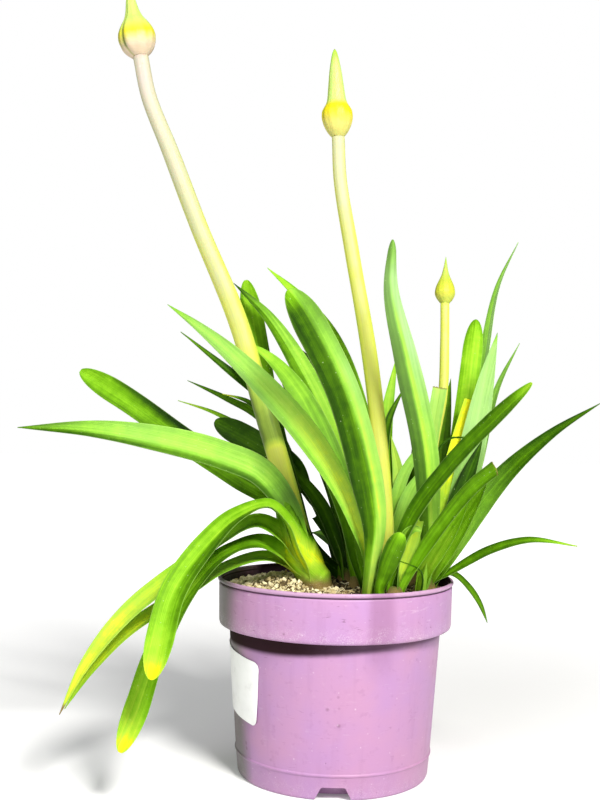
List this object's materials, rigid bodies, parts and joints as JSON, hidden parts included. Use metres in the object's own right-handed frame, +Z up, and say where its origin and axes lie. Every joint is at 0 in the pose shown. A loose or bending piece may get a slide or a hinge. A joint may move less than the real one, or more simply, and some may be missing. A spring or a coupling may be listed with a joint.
{
  "type": "potted agapanthus plant",
  "caption": "Young agapanthus with arching strap leaves and closed beaked flower buds on tall stalks, growing in a tapered plastic nursery pot filled with potting mix.",
  "frame": {"origin": "on the pot's axis, at the surface that the pot stands on", "axes": "+Z up along the pot's axis; the front of the plant faces -Y, and the tallest stalk leans towards -X"},
  "size_m": [0.3818, 0.291, 0.5798],
  "materials": {
    "pot_plastic": "satin",
    "label_paper": "matte",
    "potting_mix": "matte",
    "leaves": "satin",
    "flower_stalks": "satin",
    "flower_buds": "satin"
  },
  "bodies": {
    "root": {"pot": "pot_plastic", "label": "label_paper", "soil": "potting_mix", "shoot_left": "leaves", "shoot_back": "leaves", "shoot_inner": "leaves", "shoot_centre": "leaves", "shoot_front": "leaves", "shoot_right": "leaves", "shoot_middle": "leaves", "shoot_rear": "leaves", "shoot_far": "leaves", "shoot_far_right": "leaves", "scape_left": "flower_stalks", "scape_centre": "flower_stalks", "scape_right": "flower_stalks", "bud_left": "flower_buds", "bud_centre": "flower_buds", "bud_right": "flower_buds"}
  },
  "joints": []
}
